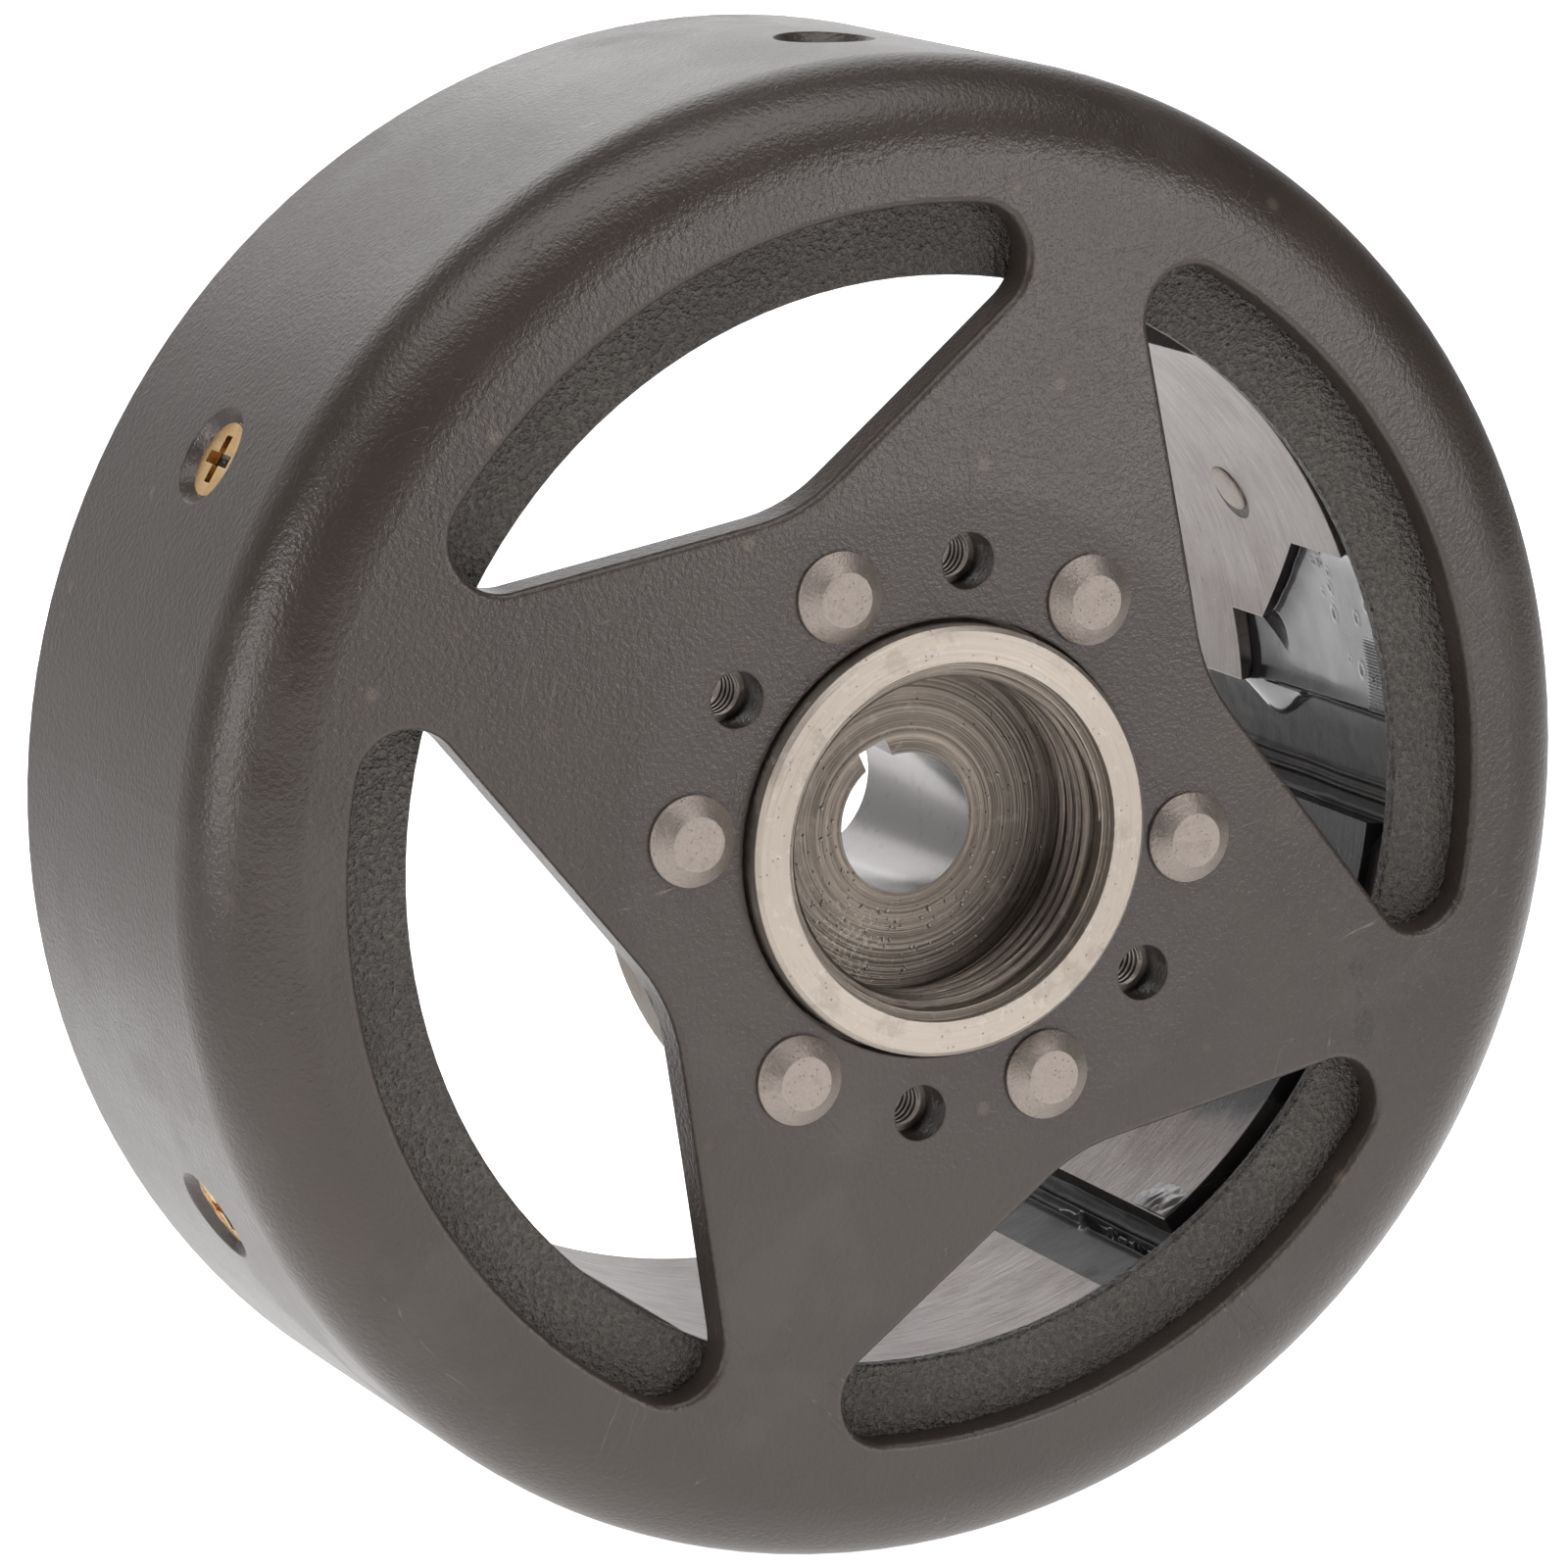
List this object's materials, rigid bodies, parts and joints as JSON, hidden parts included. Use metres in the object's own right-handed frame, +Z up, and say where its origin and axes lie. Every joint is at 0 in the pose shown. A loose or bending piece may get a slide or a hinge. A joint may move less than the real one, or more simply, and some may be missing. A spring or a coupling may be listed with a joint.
{
  "type": "generator flywheel",
  "caption": "Outer-rotor generator flywheel: a black steel cup with windows in its face, a riveted threaded hub, magnets and screwed pole shoes inside its wall.",
  "frame": {"origin": "on the spin axis, level with the front face of the hub zone", "axes": "+Y along the spin axis from the front face to the open rear; +Z up with the flywheel clocked as it was found; the wheel turns about Y"},
  "size_m": [0.142, 0.0516, 0.142],
  "materials": {
    "black_coat": "satin black powder coat",
    "turned_steel": "turned, bare",
    "rivet_steel": "bare, dull",
    "coarse_black": "coarse black coat",
    "ferrite": "black resin coat",
    "shoe_steel": "bare, brushed",
    "resin": "glossy resin",
    "gold_zinc": "gold passivated zinc"
  },
  "bodies": {
    "root": {"rotor_cup": "black_coat", "hub": "turned_steel", "hub_rivets": "rivet_steel", "magnet_stop_ring": "coarse_black", "magnet_1": "ferrite", "magnet_2": "ferrite", "magnet_3": "ferrite", "magnet_4": "ferrite", "magnet_5": "ferrite", "magnet_6": "ferrite", "pole_shoe_1": "shoe_steel", "pole_shoe_2": "shoe_steel", "pole_shoe_3": "shoe_steel", "pole_shoe_4": "shoe_steel", "pole_shoe_5": "shoe_steel", "pole_shoe_6": "shoe_steel", "resin_seam_1": "resin", "resin_seam_2": "resin", "resin_seam_3": "resin", "resin_seam_4": "resin", "resin_seam_5": "resin", "resin_seam_6": "resin", "pole_screws": "gold_zinc"}
  },
  "joints": []
}
